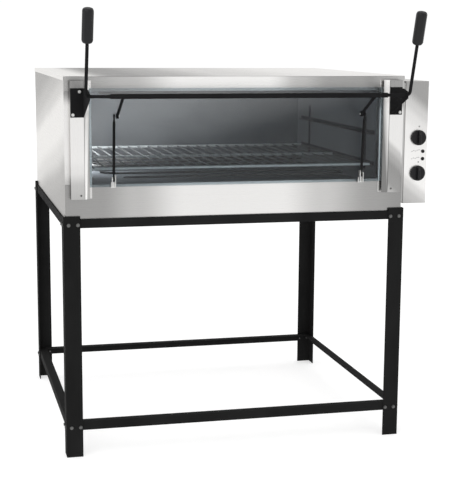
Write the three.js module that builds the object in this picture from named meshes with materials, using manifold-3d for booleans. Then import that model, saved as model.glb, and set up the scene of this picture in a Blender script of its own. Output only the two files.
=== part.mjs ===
// Electric deck oven on an angle-iron stand, with a glass door that two levers lift in side tracks.
// Millimetres, +Z up, front of the oven towards -Y.
// While it is being built, x = 0 is the middle of the stand, y = 0 the front of its legs and z = 0 the floor.
// The last lines move the origin to the middle of the whole oven's footprint, on the floor.

import * as THREE from 'three';
import { mergeVertices } from 'three/addons/utils/BufferGeometryUtils.js';
import Module from 'manifold-3d';

// Clearances and sheet
const GAP = 0.3;
const SHEET = 1.5;

// Stand
const STAND_WIDTH = 1190;
const STAND_DEPTH = 1060;
const LEG_HEIGHT = 826;
const LEG_FLANGE = 56;
const ANGLE_THICK = 3;
const RAIL_FLANGE = 30;
const TOP_RAIL_TOP = 816;
const LOW_RAIL_TOP = 123;

// Body casing
const BODY_HALF = 587;
const BODY_FRONT = 8;
const BODY_BACK = 1052;
const BODY_BOTTOM = TOP_RAIL_TOP + GAP;
const BODY_TOP = 1284;
const COVER_FLANGE = 14;
const FRAME_DEPTH = 32;

// Mouth of the oven, the lining behind it and the wool jacket round the lining
const MOUTH_HALF = 498;
const MOUTH_BOTTOM = 930;
const MOUTH_TOP = 1235;
const LINER_FRONT = BODY_FRONT + FRAME_DEPTH + 1;
const LINER_BACK = 983;
const LINER_HALF = 501.5;
const LINER_BOTTOM = 903;
const LINER_TOP = 1242.5;
const JACKET_AIR = 1;

// Rack, its supports, heating elements and thermostat bulb
const RACK_HALF = 484;
const RACK_FRONT = 50;
const RACK_BACK = 873;
const RACK_TOP = 981;
const RACK_BAR = 10;
const RACK_WIRE = 5;
const RACK_WIRES = 25;
const LEDGE = 14;
const LEDGE_HEIGHTS = [970, 1078];
const LEDGE_FRONT = 56;
const LEDGE_BACK = 923;
const STRAP = 20;
const STRAP_FRONTS = [141, 803];
const STRAP_BOTTOM = 950;
const STRAP_TOP = 1138;
const ELEMENT_RADIUS = 4;
const ELEMENT_LEGS = 6;
const ELEMENT_HALF = 440;
const ELEMENT_FRONT = 130;
const ELEMENT_PITCH = 128;
const ELEMENT_HEIGHTS = { lower: 938, upper: 1215 };
const BULB = { radius: 3, x: 485.5, front: 640, length: 120, z: 1185 };

// Door and its tracks
const TRACK_BOTTOM = 884;
const TRACK_TOP = 1270;
const TRACK_FOOT = BODY_FRONT - GAP;
const GUIDE_OUTER = 570;
const GUIDE_INNER = 525;
const GUIDE_FRONT = -20;
const EDGE_INNER = 507;
const EDGE_FRONT = -8;
const TRACK_OUTER = 522;
const TRACK_INNER = 498;
const TRACK_FRONT = -10;
const GLASS_HALF = 506.5;
const GLASS_BOTTOM = 922;
const GLASS_TOP = 1245;
const GLASS_FRONT = -5;
const GLASS_THICK = 6;

// Lifting gear: one shaft across the front, two levers at its ends and two cranks on it
const SHAFT_Y = -167;
const SHAFT_Z = 1226;
const SHAFT_HALF = 460;
const SHAFT_RADIUS = 8;
const SHAFT_BORE = 6;
const ROD_RADIUS = 5.5;
const ROD_INSERT = 30;
const LEVER_X = 537;
const LEVER_BEND = 11;
const LEVER_LEAN = THREE.MathUtils.degToRad(17.5);
const GRIP_START = 173;
const GRIP_LENGTH = 110;
const GRIP_RADIUS = 18.5;
const GRIP_CAP = 24;
const CRANK_X = 418.5;
const CRANK_RADIUS = 5;
const CRANK_EYE_RADIUS = 9;
const CRANK_EYE_HALF = 4;
const ELBOW = [-35, 1157];

// Links and the lugs they are pinned to, on the lower edge of the glass
const LINK_X = 429;
const LINK_RADIUS = 4.5;
const LINK_EYE_RADIUS = 7;
const LINK_EYE_HALF = 2.5;
const LINK_NECK = 18;
const PIVOT = [-15, 948];
const PIN_RADIUS = 2.5;
const PIN_HALF = 7;
const LUG_HALF = 8;
const LUG_PLATE = 2;
const LUG_TOP = 938;
const EAR_SPACING = 4;
const EAR_REACH = 16;
const EAR_DROP = 26;
const OUTER_EAR_RISE = 8;
const INNER_EAR_RISE = 14;

// Lever brackets
const BRACKET_OUTER = 569;
const BRACKET_INNER = 525;
const BRACKET_BOTTOM = 1152;
const BRACKET_TOP = 1246;
const BRACKET_SHOULDER = -142;
const NOSE_FRONT = -180;
const NOSE_TOP = 1237;
const NOSE_BOTTOM = 1215;
const BRACKET_BORE = 6.2;

// Control box on the right-hand side
const BOX_LEFT = 594.5;
const BOX_RIGHT = 678;
const BOX_DEPTH = 420;
const BOX_BOTTOM = 840;
const BOX_TOP = 1265;
const KNOB_X = 644.5;
const KNOB_HEIGHTS = { upper: 1070, lower: 946 };
const KNOB_RADIUS = 26.5;
const KNOB_SKIRT = 10;
const KNOB_DEPTH = 21;
const HANDLE_HALF = 5.5;
const SPINDLE_RADIUS = 3;
const SPINDLE_LENGTH = 25;
const LAMP_X = 663;
const LAMP_HEIGHTS = { upper: 1022, lower: 996 };
const LAMP_RADIUS = 6.2;
const LAMP_BARREL = 5;
const LAMP_DEPTH = 18;
const SWITCH_X = 641.5;
const SWITCH_RADIUS = 22;
const SWITCH_DEPTH = 38;
const GLAND_RADIUS = 8;
const GLAND_NUT = 13;
const GLAND_BORE = 4.5;
const GLAND_HEIGHT = 890;

const wasm = await Module();
wasm.setup();

function solid(geometry) {
  const bare = geometry.index ? geometry.toNonIndexed() : geometry.clone();
  bare.deleteAttribute('normal');
  bare.deleteAttribute('uv');
  const merged = mergeVertices(bare, 1e-4);
  return new wasm.Manifold(new wasm.Mesh({
    numProp: 3,
    vertProperties: merged.attributes.position.array,
    triVerts: merged.index.array,
  }));
}

function geometryOf(body) {
  const mesh = body.getMesh();
  const geometry = new THREE.BufferGeometry();
  geometry.setAttribute('position', new THREE.BufferAttribute(mesh.vertProperties, 3));
  geometry.setIndex(new THREE.BufferAttribute(mesh.triVerts, 1));
  return geometry;
}

function join(first, ...others) {
  return geometryOf(others.reduce((sum, geometry) => sum.add(solid(geometry)), solid(first)));
}

function cut(first, ...others) {
  return geometryOf(others.reduce((rest, geometry) => rest.subtract(solid(geometry)), solid(first)));
}

function block([x0, x1], [y0, y1], [z0, z1]) {
  const geometry = new THREE.BoxGeometry(Math.abs(x1 - x0), Math.abs(y1 - y0), Math.abs(z1 - z0));
  return geometry.translate((x0 + x1) / 2, (y0 + y1) / 2, (z0 + z1) / 2);
}

function outline(points) {
  return new THREE.Shape(points.map(([u, v]) => new THREE.Vector2(u, v)));
}

function pull(points, depth) {
  return new THREE.ExtrudeGeometry(outline(points), { depth, bevelEnabled: false });
}

// An outline in the YZ, XZ or XY plane, pulled straight along the third axis between two places on it.
function pulledAlongX(points, x0, x1) {
  const cyclic = new THREE.Matrix4().makeBasis(
    new THREE.Vector3(0, 1, 0), new THREE.Vector3(0, 0, 1), new THREE.Vector3(1, 0, 0));
  return pull(points, Math.abs(x1 - x0)).applyMatrix4(cyclic).translate(Math.min(x0, x1), 0, 0);
}

function pulledAlongY(points, y0, y1) {
  return pull(points, y1 - y0).rotateX(Math.PI / 2).translate(0, y1, 0);
}

function pulledAlongZ(points, z0, z1) {
  return pull(points, z1 - z0).translate(0, 0, z0);
}

function diskAlongX(radius, [x0, x1], [y, z], sides = 24) {
  const geometry = new THREE.CylinderGeometry(radius, radius, Math.abs(x1 - x0), sides);
  return geometry.rotateZ(Math.PI / 2).translate((x0 + x1) / 2, y, z);
}

function diskAlongY(radius, [y0, y1], [x, z], sides = 24) {
  return new THREE.CylinderGeometry(radius, radius, y1 - y0, sides).translate(x, (y0 + y1) / 2, z);
}

// A turned profile of [radius, height] points, its height pointing forwards.
function turnedForwards(profile, sides) {
  const points = profile.map(([radius, height]) => new THREE.Vector2(radius, height));
  return new THREE.LatheGeometry(points, sides).rotateX(Math.PI);
}

// A straight round bar between two [y, z] points at one x.
function barInYZ(radius, x, [y0, z0], [y1, z1], sides = 12) {
  const length = Math.hypot(y1 - y0, z1 - z0);
  const geometry = new THREE.CylinderGeometry(radius, radius, length, sides);
  geometry.rotateX(Math.atan2(z1 - z0, y1 - y0));
  return geometry.translate(x, (y0 + y1) / 2, (z0 + z1) / 2);
}

// An L-section: two flanges that share the corner (u, v) and run towards su and sv.
function angleSection([u, v], [su, sv], [flangeU, flangeV], thick) {
  return [
    [u, v], [u + su * flangeU, v], [u + su * flangeU, v + sv * thick],
    [u + su * thick, v + sv * thick], [u + su * thick, v + sv * flangeV], [u, v + sv * flangeV],
  ];
}

function roundShape(radius, sides) {
  return outline(Array.from({ length: sides }, (_, i) => {
    const angle = (2 * Math.PI * i) / sides;
    return [radius * Math.cos(angle), radius * Math.sin(angle)];
  }));
}

// An arc about a centre, from one direction towards another at right angles to it.
class Arc extends THREE.Curve {
  constructor(centre, from, to, sweep) {
    super();
    Object.assign(this, { centre, from, to, sweep });
  }

  getPoint(t, target = new THREE.Vector3()) {
    const angle = this.sweep * t;
    return target.copy(this.centre)
      .addScaledVector(this.from, Math.cos(angle))
      .addScaledVector(this.to, Math.sin(angle));
  }
}

function line(from, to) {
  return new THREE.LineCurve3(new THREE.Vector3(...from), new THREE.Vector3(...to));
}

const finishes = {
  blackPaint: { color: 0x17181a, roughness: 0.5, metalness: 0.6 },
  stainless: { color: 0xc9c8c6, roughness: 0.35, metalness: 0.95 },
  liningSteel: { color: 0x4c5054, roughness: 0.5, metalness: 0.8 },
  brightWire: { color: 0xb8bcbe, roughness: 0.3, metalness: 0.9 },
  heaterSheath: { color: 0x3c3a38, roughness: 0.6, metalness: 0.6 },
  woolBlanket: { color: 0xb9a878, roughness: 1, metalness: 0 },
  tintedGlass: { color: 0x6d7a80, roughness: 0.08, metalness: 0, transparent: true, opacity: 0.4 },
  blackPlastic: { color: 0x101113, roughness: 0.35, metalness: 0 },
  greyPlastic: { color: 0x55585b, roughness: 0.6, metalness: 0 },
  zincPlate: { color: 0xd2d4d6, roughness: 0.25, metalness: 1 },
};

const oven = new THREE.Group();

function place(name, geometry, finish, parent = oven) {
  const mesh = new THREE.Mesh(geometry, new THREE.MeshStandardMaterial(finishes[finish]));
  mesh.name = name;
  parent.add(mesh);
}

const SIDES = [['left', -1], ['right', 1]];

// Stand: four upright angles, corner outwards, bolted to two rings of rail angle.
function buildStand() {
  const half = STAND_WIDTH / 2;
  const ends = [['front', 0, 1], ['rear', STAND_DEPTH, -1]];
  for (const [end, y, inward] of ends) {
    for (const [side, sx] of SIDES) {
      const section = angleSection([sx * half, y], [-sx, inward], [LEG_FLANGE, LEG_FLANGE], ANGLE_THICK);
      place(`leg_${end}_${side}`, pulledAlongZ(section, 0, LEG_HEIGHT), 'blackPaint');
    }
  }

  const inset = ANGLE_THICK + GAP;
  const crossEnd = half - inset - ANGLE_THICK - GAP;
  const shelfStart = inset + RAIL_FLANGE + GAP;
  const flanges = [RAIL_FLANGE, RAIL_FLANGE];
  for (const [level, top] of [['top', TOP_RAIL_TOP], ['low', LOW_RAIL_TOP]]) {
    for (const [end, y, inward] of ends) {
      const section = angleSection([y + inward * inset, top], [inward, -1], flanges, ANGLE_THICK);
      place(`${level}_rail_${end}`, pulledAlongX(section, -crossEnd, crossEnd), 'blackPaint');
    }
    for (const [side, sx] of SIDES) {
      const outer = sx * (half - inset);
      const upright = block([outer, outer - sx * ANGLE_THICK], [inset, STAND_DEPTH - inset],
        [top - RAIL_FLANGE, top]);
      const shelf = block([outer, outer - sx * RAIL_FLANGE], [shelfStart, STAND_DEPTH - shelfStart],
        [top - ANGLE_THICK, top]);
      place(`${level}_rail_${side}`, join(upright, shelf), 'blackPaint');
    }
  }
}

// Casing: folded stainless sheet around the lining, with a mouth at the front.
function buildCasing() {
  const inner = BODY_HALF - SHEET;
  const across = [-inner + GAP, inner - GAP];
  const behindFront = BODY_FRONT + SHEET + GAP;
  const underCover = BODY_TOP - SHEET - GAP;
  place('base_pan', block(across, [behindFront, BODY_BACK - SHEET - GAP], [BODY_BOTTOM, BODY_BOTTOM + SHEET]),
    'stainless');
  place('back_panel', block(across, [BODY_BACK - SHEET, BODY_BACK], [BODY_BOTTOM, underCover]), 'stainless');
  for (const [side, sx] of SIDES) {
    place(`side_panel_${side}`,
      block([sx * inner, sx * BODY_HALF], [behindFront, BODY_BACK], [BODY_BOTTOM, underCover]), 'stainless');
  }

  const cover = BODY_HALF + GAP + SHEET;
  const flangeEnd = BODY_TOP - COVER_FLANGE;
  place('top_cover', pulledAlongY([
    [-cover, flangeEnd], [-cover + SHEET, flangeEnd], [-cover + SHEET, BODY_TOP - SHEET],
    [cover - SHEET, BODY_TOP - SHEET], [cover - SHEET, flangeEnd], [cover, flangeEnd],
    [cover, BODY_TOP], [-cover, BODY_TOP],
  ], BODY_FRONT, BODY_BACK), 'stainless');

  for (const [name, bottom, top, lip] of [
    ['front_header', MOUTH_TOP, underCover, MOUTH_TOP],
    ['front_sill', BODY_BOTTOM + SHEET + GAP, MOUTH_BOTTOM, MOUTH_BOTTOM - SHEET],
  ]) {
    const face = block([-BODY_HALF, BODY_HALF], [BODY_FRONT, BODY_FRONT + SHEET], [bottom, top]);
    const fold = block(across, [BODY_FRONT, BODY_FRONT + FRAME_DEPTH], [lip, lip + SHEET]);
    place(name, join(face, fold), 'stainless');
  }
  for (const [side, sx] of SIDES) {
    const flanges = [BODY_HALF - MOUTH_HALF, FRAME_DEPTH];
    const post = angleSection([sx * MOUTH_HALF, BODY_FRONT], [sx, 1], flanges, SHEET);
    place(`front_post_${side}`, pulledAlongZ(post, MOUTH_BOTTOM + GAP, MOUTH_TOP - GAP), 'stainless');
  }
}

// Lining: the baking chamber, open only at the mouth, inside one mineral-wool jacket.
function buildLining() {
  const half = LINER_HALF - SHEET - GAP;
  const depth = [LINER_FRONT, LINER_BACK - SHEET - GAP];
  const height = [LINER_BOTTOM, LINER_TOP];
  place('cavity_floor', block([-half, half], depth, [LINER_BOTTOM, LINER_BOTTOM + SHEET]), 'liningSteel');
  place('cavity_ceiling', block([-half, half], depth, [LINER_TOP - SHEET, LINER_TOP]), 'liningSteel');
  for (const [side, sx] of SIDES) {
    const thickness = [sx * (LINER_HALF - SHEET), sx * LINER_HALF];
    place(`cavity_wall_${side}`, block(thickness, depth, height), 'liningSteel');
  }
  place('cavity_back',
    block([-LINER_HALF, LINER_HALF], [LINER_BACK - SHEET, LINER_BACK], height), 'liningSteel');

  const outer = BODY_HALF - SHEET - JACKET_AIR;
  const wool = block([-outer, outer], [LINER_FRONT, BODY_BACK - SHEET - JACKET_AIR],
    [BODY_BOTTOM + SHEET + JACKET_AIR, BODY_TOP - SHEET - JACKET_AIR]);
  const inner = LINER_HALF + JACKET_AIR;
  const hollow = block([-inner, inner], [0, LINER_BACK + JACKET_AIR],
    [LINER_BOTTOM - JACKET_AIR, LINER_TOP + JACKET_AIR]);
  place('insulation_jacket', cut(wool, hollow), 'woolBlanket');
}

// Rack of square bars and wires, and on each wall two ledges joined by two straps.
function buildRack() {
  const barStarts = [RACK_FRONT, (RACK_FRONT + RACK_BACK - RACK_BAR) / 2, RACK_BACK - RACK_BAR];
  const bars = barStarts.map((y) =>
    block([-RACK_HALF, RACK_HALF], [y, y + RACK_BAR], [RACK_TOP - RACK_BAR, RACK_TOP]));
  const recess = 2;
  const pitch = (2 * RACK_HALF - RACK_WIRE) / (RACK_WIRES - 1);
  const wires = Array.from({ length: RACK_WIRES }, (_, i) => {
    const x = -RACK_HALF + i * pitch;
    return block([x, x + RACK_WIRE], [RACK_FRONT + recess, RACK_BACK - recess],
      [RACK_TOP - RACK_WIRE - recess, RACK_TOP - recess]);
  });
  place('rack', join(...bars, ...wires), 'brightWire');

  const wall = LINER_HALF - SHEET - GAP;
  for (const [side, sx] of SIDES) {
    const ledges = LEDGE_HEIGHTS.map((z) => pulledAlongY(
      angleSection([sx * wall, z], [-sx, 1], [LEDGE, LEDGE], SHEET), LEDGE_FRONT, LEDGE_BACK));
    const straps = STRAP_FRONTS.map((y) =>
      block([sx * wall, sx * (wall - SHEET)], [y, y + STRAP], [STRAP_BOTTOM, STRAP_TOP]));
    place(`rack_support_${side}`, join(...ledges, ...straps), 'liningSteel');
  }
}

// Each heating element is one round tube folded to and fro across the chamber.
function elementPath(z) {
  const path = new THREE.CurvePath();
  const radius = ELEMENT_PITCH / 2;
  const straight = ELEMENT_HALF - radius;
  for (let leg = 0; leg < ELEMENT_LEGS; leg += 1) {
    const y = ELEMENT_FRONT + leg * ELEMENT_PITCH;
    const heading = leg % 2 ? -1 : 1;
    path.add(line([-heading * straight, y, z], [heading * straight, y, z]));
    if (leg < ELEMENT_LEGS - 1) {
      path.add(new Arc(new THREE.Vector3(heading * straight, y + radius, z),
        new THREE.Vector3(0, -radius, 0), new THREE.Vector3(heading * radius, 0, 0), Math.PI));
    }
  }
  return path;
}

function buildHeating() {
  for (const [level, z] of Object.entries(ELEMENT_HEIGHTS)) {
    place(`${level}_element`, new THREE.ExtrudeGeometry(roundShape(ELEMENT_RADIUS, 8), {
      steps: 80, bevelEnabled: false, extrudePath: elementPath(z),
    }), 'heaterSheath');
  }
  place('thermostat_bulb',
    diskAlongY(BULB.radius, [BULB.front, BULB.front + BULB.length], [BULB.x, BULB.z], 12), 'brightWire');
}

// Door tracks: a cover on each front post, its inner edge bent back over the glass, and an angle behind it.
function buildTracks() {
  for (const [side, sx] of SIDES) {
    place(`door_guide_${side}`, pulledAlongZ([
      [sx * GUIDE_OUTER, TRACK_FOOT], [sx * GUIDE_OUTER, GUIDE_FRONT], [sx * GUIDE_INNER, GUIDE_FRONT],
      [sx * EDGE_INNER, EDGE_FRONT], [sx * EDGE_INNER, EDGE_FRONT + SHEET],
      [sx * GUIDE_INNER, GUIDE_FRONT + SHEET], [sx * (GUIDE_OUTER - SHEET), GUIDE_FRONT + SHEET],
      [sx * (GUIDE_OUTER - SHEET), TRACK_FOOT],
    ], TRACK_BOTTOM, TRACK_TOP), 'stainless');
    place(`guide_track_${side}`, pulledAlongZ([
      [sx * TRACK_INNER, TRACK_FOOT], [sx * TRACK_OUTER, TRACK_FOOT], [sx * TRACK_OUTER, TRACK_FRONT],
      [sx * (TRACK_OUTER - SHEET), TRACK_FRONT], [sx * (TRACK_OUTER - SHEET), TRACK_FOOT - SHEET],
      [sx * TRACK_INNER, TRACK_FOOT - SHEET],
    ], TRACK_BOTTOM, TRACK_TOP), 'stainless');
  }
}

// Glass pane, and on its lower edge two folded lugs: a foot under the glass, a plate and two ears with a pin.
function buildDoor() {
  place('glass_pane', block([-GLASS_HALF, GLASS_HALF], [GLASS_FRONT, GLASS_FRONT + GLASS_THICK],
    [GLASS_BOTTOM, GLASS_TOP]), 'tintedGlass');
  const plateBack = GLASS_FRONT - GAP;
  const plateFront = plateBack - LUG_PLATE;
  const footTop = GLASS_BOTTOM - GAP;
  const earFront = plateFront - EAR_REACH;
  for (const [side, sx] of SIDES) {
    const across = [sx * (LINK_X - LUG_HALF), sx * (LINK_X + LUG_HALF)];
    const foot = block(across, [plateFront, GLASS_FRONT + GLASS_THICK], [footTop - LUG_PLATE, footTop]);
    const plate = block(across, [plateFront, plateBack], [footTop - LUG_PLATE, LUG_TOP]);
    const ears = [[1, OUTER_EAR_RISE], [-1, INNER_EAR_RISE]].map(([outward, rise]) => {
      const near = LINK_X + outward * EAR_SPACING;
      return block([sx * near, sx * (near + outward * LUG_PLATE)], [earFront, plateBack],
        [PIVOT[1] - EAR_DROP, PIVOT[1] + rise]);
    });
    const pin = diskAlongX(PIN_RADIUS, [sx * LINK_X - PIN_HALF, sx * LINK_X + PIN_HALF], PIVOT, 16);
    place(`lug_${side}`, join(plate, foot, ...ears, pin), 'zincPlate');
  }
}

// Links: round rods with flattened eyes, from the lug pins up to the elbows beside the cranks' eyes.
function buildLinks() {
  const length = Math.hypot(ELBOW[0] - PIVOT[0], ELBOW[1] - PIVOT[1]);
  const along = (distance) => PIVOT.map((start, i) => start + (ELBOW[i] - start) * (distance / length));
  for (const [side, sx] of SIDES) {
    const x = sx * LINK_X;
    const eyeSpan = [x - LINK_EYE_HALF, x + LINK_EYE_HALF];
    const eyes = [PIVOT, ELBOW].map((centre) => diskAlongX(LINK_EYE_RADIUS, eyeSpan, centre));
    const necks = barInYZ(LINK_EYE_HALF, x, PIVOT, ELBOW);
    const rod = barInYZ(LINK_RADIUS, x, along(LINK_NECK), along(length - LINK_NECK));
    const bore = diskAlongX(PIN_RADIUS + GAP, [x - LINK_RADIUS, x + LINK_RADIUS], PIVOT, 16);
    place(`link_${side}`, cut(join(...eyes, necks, rod), bore), 'blackPaint');
  }
}

// Shaft, cranks, levers and grips all turn together about the shaft's axis.
function buildLiftGear() {
  const axis = [SHAFT_Y, SHAFT_Z];
  const beyond = SHAFT_HALF + 1;
  place('cross_shaft', cut(diskAlongX(SHAFT_RADIUS, [-SHAFT_HALF, SHAFT_HALF], axis, 20),
    diskAlongX(SHAFT_BORE, [-beyond, beyond], axis, 20)), 'blackPaint');

  const turned = new THREE.Group();
  turned.position.set(0, SHAFT_Y, SHAFT_Z);
  turned.rotation.x = LEVER_LEAN;
  oven.add(turned);

  const capStart = GRIP_LENGTH - GRIP_CAP;
  const rodBore = ROD_RADIUS + GAP;
  const gripProfile = [
    [rodBore, 0], [12.5, 0], [16.5, 3], [GRIP_RADIUS, 9], [GRIP_RADIUS, GRIP_LENGTH - 9],
    [16, GRIP_LENGTH - 2.5], [9, GRIP_LENGTH], [0, GRIP_LENGTH], [0, capStart], [rodBore, capStart],
    [rodBore, 0],
  ].map(([radius, height]) => new THREE.Vector2(radius, height));

  for (const [side, sx] of SIDES) {
    const x = sx * CRANK_X;
    const arm = barInYZ(CRANK_RADIUS, x, axis, ELBOW);
    const eye = diskAlongX(CRANK_EYE_RADIUS, [x - CRANK_EYE_HALF, x + CRANK_EYE_HALF], ELBOW);
    const saddle = diskAlongX(SHAFT_RADIUS + GAP, [x - 2 * CRANK_RADIUS, x + 2 * CRANK_RADIUS], axis, 20);
    place(`crank_${side}`, cut(join(arm, eye), saddle), 'blackPaint');

    const corner = sx * (LEVER_X - LEVER_BEND);
    const path = new THREE.CurvePath();
    path.add(line([sx * (SHAFT_HALF - ROD_INSERT), 0, 0], [corner, 0, 0]));
    path.add(new Arc(new THREE.Vector3(corner, 0, LEVER_BEND),
      new THREE.Vector3(0, 0, -LEVER_BEND), new THREE.Vector3(sx * LEVER_BEND, 0, 0), Math.PI / 2));
    path.add(line([sx * LEVER_X, 0, LEVER_BEND], [sx * LEVER_X, 0, GRIP_START + capStart - 1]));
    place(`lever_${side}`, new THREE.ExtrudeGeometry(roundShape(ROD_RADIUS, 12), {
      steps: 60, bevelEnabled: false, extrudePath: path,
    }), 'blackPaint', turned);

    const grip = new THREE.LatheGeometry(gripProfile, 24).rotateX(Math.PI / 2);
    place(`grip_${side}`, grip.translate(sx * LEVER_X, 0, GRIP_START), 'blackPlastic', turned);
  }
}

// Each bracket is one plate: a flange bolted over the door guide and an ear folded forwards for the shaft.
function buildBrackets() {
  const back = GUIDE_FRONT - GAP;
  for (const [side, sx] of SIDES) {
    const flange = block([sx * BRACKET_INNER, sx * BRACKET_OUTER], [back - ANGLE_THICK, back],
      [BRACKET_BOTTOM, BRACKET_TOP]);
    const ear = pulledAlongX([
      [back, BRACKET_BOTTOM], [back, BRACKET_TOP], [BRACKET_SHOULDER, BRACKET_TOP],
      [NOSE_FRONT, NOSE_TOP], [NOSE_FRONT, NOSE_BOTTOM],
    ], sx * BRACKET_INNER, sx * (BRACKET_INNER + ANGLE_THICK));
    const through = [sx * (BRACKET_INNER - 1), sx * (BRACKET_INNER + ANGLE_THICK + 1)];
    const bore = diskAlongX(BRACKET_BORE, through, [SHAFT_Y, SHAFT_Z]);
    place(`lever_bracket_${side}`, cut(join(flange, ear), bore), 'blackPaint');
  }
}

// Control box: a folded enclosure, its front plate, and what is fixed to that plate.
function buildControls() {
  const behindPlate = BODY_FRONT + SHEET + GAP;
  const boxBack = BODY_FRONT + BOX_DEPTH;
  const glandPlace = [(BOX_LEFT + BOX_RIGHT) / 2, GLAND_HEIGHT];
  const shell = block([BOX_LEFT, BOX_RIGHT], [behindPlate, boxBack], [BOX_BOTTOM, BOX_TOP]);
  const inside = block([BOX_LEFT + SHEET, BOX_RIGHT - SHEET], [BODY_FRONT, boxBack - SHEET],
    [BOX_BOTTOM + SHEET, BOX_TOP - SHEET]);
  const glandHole = diskAlongY(GLAND_RADIUS + GAP, [boxBack - 2 * SHEET, boxBack + SHEET], glandPlace);
  place('control_box', cut(shell, inside, glandHole), 'stainless');

  const plate = block([BOX_LEFT, BOX_RIGHT], [BODY_FRONT, BODY_FRONT + SHEET], [BOX_BOTTOM, BOX_TOP]);
  const through = [BODY_FRONT - SHEET, BODY_FRONT + 2 * SHEET];
  const holes = [
    ...Object.values(KNOB_HEIGHTS).map((z) => diskAlongY(SPINDLE_RADIUS + 2, through, [KNOB_X, z])),
    ...Object.values(LAMP_HEIGHTS).map((z) => diskAlongY(LAMP_BARREL + GAP, through, [LAMP_X, z])),
  ];
  place('control_fascia', cut(plate, ...holes), 'stainless');

  const knobBack = BODY_FRONT - 1;
  const skirt = [
    [0, -SPINDLE_LENGTH], [SPINDLE_RADIUS, -SPINDLE_LENGTH], [SPINDLE_RADIUS, 0], [KNOB_RADIUS - 1, 0],
    [KNOB_RADIUS, 1.5], [KNOB_RADIUS, KNOB_SKIRT / 2], [KNOB_RADIUS - 3, KNOB_SKIRT - 1],
    [KNOB_RADIUS - 6, KNOB_SKIRT], [0, KNOB_SKIRT],
  ];
  const handleReach = KNOB_RADIUS - 4;
  for (const [level, z] of Object.entries(KNOB_HEIGHTS)) {
    const handle = block([-HANDLE_HALF, HANDLE_HALF], [-KNOB_DEPTH, 1 - KNOB_SKIRT],
      [-handleReach, handleReach]);
    const knob = join(turnedForwards(skirt, 32), handle);
    place(`knob_${level}`, knob.translate(KNOB_X, knobBack, z), 'blackPlastic');
  }

  const lens = [
    [0, -LAMP_DEPTH], [LAMP_BARREL, -LAMP_DEPTH], [LAMP_BARREL, 0], [LAMP_RADIUS, 0], [LAMP_RADIUS, 2],
    [4.6, 3.2], [2.6, 4.2], [0, 4.6],
  ];
  for (const [level, z] of Object.entries(LAMP_HEIGHTS)) {
    const lamp = turnedForwards(lens, 20).translate(LAMP_X, BODY_FRONT - GAP, z);
    place(`pilot_lamp_${level}`, lamp, 'blackPlastic');
  }

  const spindleRoom = [behindPlate - 1, knobBack + SPINDLE_LENGTH + 1];
  for (const [name, z] of [['thermostat', KNOB_HEIGHTS.upper], ['selector_switch', KNOB_HEIGHTS.lower]]) {
    const drum = diskAlongY(SWITCH_RADIUS, [behindPlate, behindPlate + SWITCH_DEPTH], [SWITCH_X, z]);
    place(name, cut(drum, diskAlongY(SPINDLE_RADIUS + 1, spindleRoom, [KNOB_X, z])), 'greyPlastic');
  }

  const barrel = diskAlongY(GLAND_RADIUS, [boxBack - 14, boxBack + 24], glandPlace);
  const nut = diskAlongY(GLAND_NUT, [boxBack + GAP, boxBack + 8], glandPlace, 6);
  const cableBore = diskAlongY(GLAND_BORE, [boxBack - 20, boxBack + 30], glandPlace);
  place('cable_gland', cut(join(barrel, nut), cableBore), 'greyPlastic');
}

buildStand();
buildCasing();
buildLining();
buildRack();
buildHeating();
buildTracks();
buildDoor();
buildLinks();
buildLiftGear();
buildBrackets();
buildControls();

oven.updateMatrixWorld(true);
const middle = new THREE.Box3().setFromObject(oven, true).getCenter(new THREE.Vector3());
oven.position.set(-middle.x, -middle.y, 0);

export default oven;
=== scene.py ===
# Electric deck oven on an angle-iron stand, with a glass door that two levers lift in side tracks.
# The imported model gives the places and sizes. Each section below finishes one piece or one group of pieces.
import math

import bpy
from mathutils import Matrix, Vector


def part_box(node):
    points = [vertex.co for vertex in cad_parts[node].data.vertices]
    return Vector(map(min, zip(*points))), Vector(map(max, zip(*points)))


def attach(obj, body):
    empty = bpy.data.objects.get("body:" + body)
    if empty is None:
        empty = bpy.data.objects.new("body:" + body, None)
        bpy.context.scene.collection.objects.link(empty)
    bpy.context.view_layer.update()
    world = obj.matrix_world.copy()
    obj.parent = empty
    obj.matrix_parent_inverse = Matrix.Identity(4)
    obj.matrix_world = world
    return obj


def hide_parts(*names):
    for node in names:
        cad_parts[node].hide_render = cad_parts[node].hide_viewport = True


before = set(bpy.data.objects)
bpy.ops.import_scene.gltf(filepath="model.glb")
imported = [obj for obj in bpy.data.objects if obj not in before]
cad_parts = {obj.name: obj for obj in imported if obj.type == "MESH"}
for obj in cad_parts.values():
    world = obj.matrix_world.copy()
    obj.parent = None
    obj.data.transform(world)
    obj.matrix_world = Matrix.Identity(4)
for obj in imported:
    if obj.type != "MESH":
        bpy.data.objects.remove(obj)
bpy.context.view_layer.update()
MM = 0.001


# Camera, studio floor and light.
# A long lens at standing height, to the left of the oven and looking slightly down on it.
# A white tent lights it from all round, with one large soft lamp above its left front corner. A weak lamp
# on the left wall of the chamber, out of sight, shows what is behind the glass.
scene = bpy.context.scene
scene.view_settings.view_transform = "Standard"

stand_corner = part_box("leg_front_left")[0]
camera_yaw = math.radians(13.607)
camera_pitch = math.radians(9.778)
camera_roll = math.radians(0.354)
look = Vector((
    math.sin(camera_yaw) * math.cos(camera_pitch),
    math.cos(camera_yaw) * math.cos(camera_pitch),
    -math.sin(camera_pitch),
))
across = Vector((math.cos(camera_yaw), -math.sin(camera_yaw), 0))
upward = across.cross(look)
camera_right = across * math.cos(camera_roll) + upward * math.sin(camera_roll)
camera_up = upward * math.cos(camera_roll) - across * math.sin(camera_roll)
camera_turn = Matrix((camera_right, camera_up, -look)).transposed().to_4x4()
camera_place = stand_corner + Vector((-0.4275, -4.0328, 1.4123))

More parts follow.
